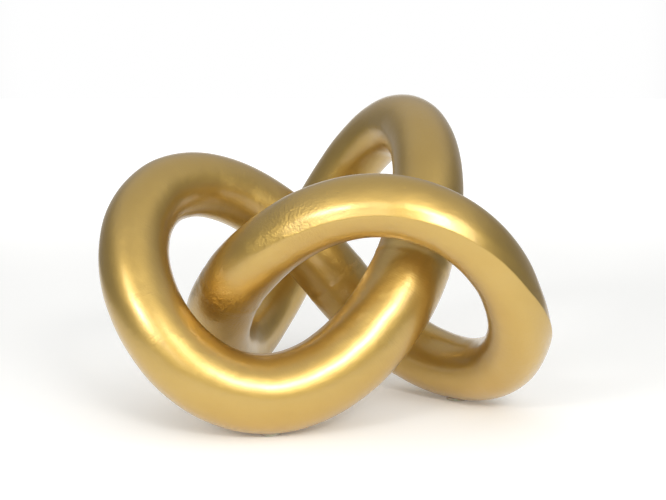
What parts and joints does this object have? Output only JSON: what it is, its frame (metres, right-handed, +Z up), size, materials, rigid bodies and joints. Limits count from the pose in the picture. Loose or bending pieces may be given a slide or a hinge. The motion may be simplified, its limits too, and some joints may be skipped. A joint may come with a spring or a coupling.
{
  "type": "three-lobed knot sculpture",
  "caption": "Decorative tabletop knot: a thick round tube of hollow cast aluminium lobes looped into a closed trefoil, with a satin gold finish.",
  "frame": {"origin": "on the floor, under the middle of the object's box", "axes": "+X right and +Y away from the pictured front, +Z up"},
  "size_m": [0.254, 0.2265, 0.1817],
  "materials": {
    "gold_lacquered_casting": "satin gold lacquer over hand-dressed cast aluminium",
    "gold_lacquered_weld": "the same lacquer over a ground and dressed aluminium weld",
    "bare_aluminium_tube": "mill-finish aluminium tube, hidden inside",
    "clear_silicone": "clear milky self-adhesive silicone"
  },
  "bodies": {
    "root": {"right_upper_shell": "gold_lacquered_casting", "right_lower_shell": "gold_lacquered_casting", "right_outer_seam_weld": "gold_lacquered_weld", "right_inner_seam_weld": "gold_lacquered_weld", "right_pad": "clear_silicone", "left_upper_shell": "gold_lacquered_casting", "left_lower_shell": "gold_lacquered_casting", "left_outer_seam_weld": "gold_lacquered_weld", "left_inner_seam_weld": "gold_lacquered_weld", "left_pad": "clear_silicone", "back_upper_shell": "gold_lacquered_casting", "back_lower_shell": "gold_lacquered_casting", "back_outer_seam_weld": "gold_lacquered_weld", "back_inner_seam_weld": "gold_lacquered_weld", "back_pad": "clear_silicone", "right_left_sleeve": "bare_aluminium_tube", "right_left_joint_weld": "gold_lacquered_weld", "left_back_sleeve": "bare_aluminium_tube", "left_back_joint_weld": "gold_lacquered_weld", "back_right_sleeve": "bare_aluminium_tube", "back_right_joint_weld": "gold_lacquered_weld"}
  },
  "joints": []
}
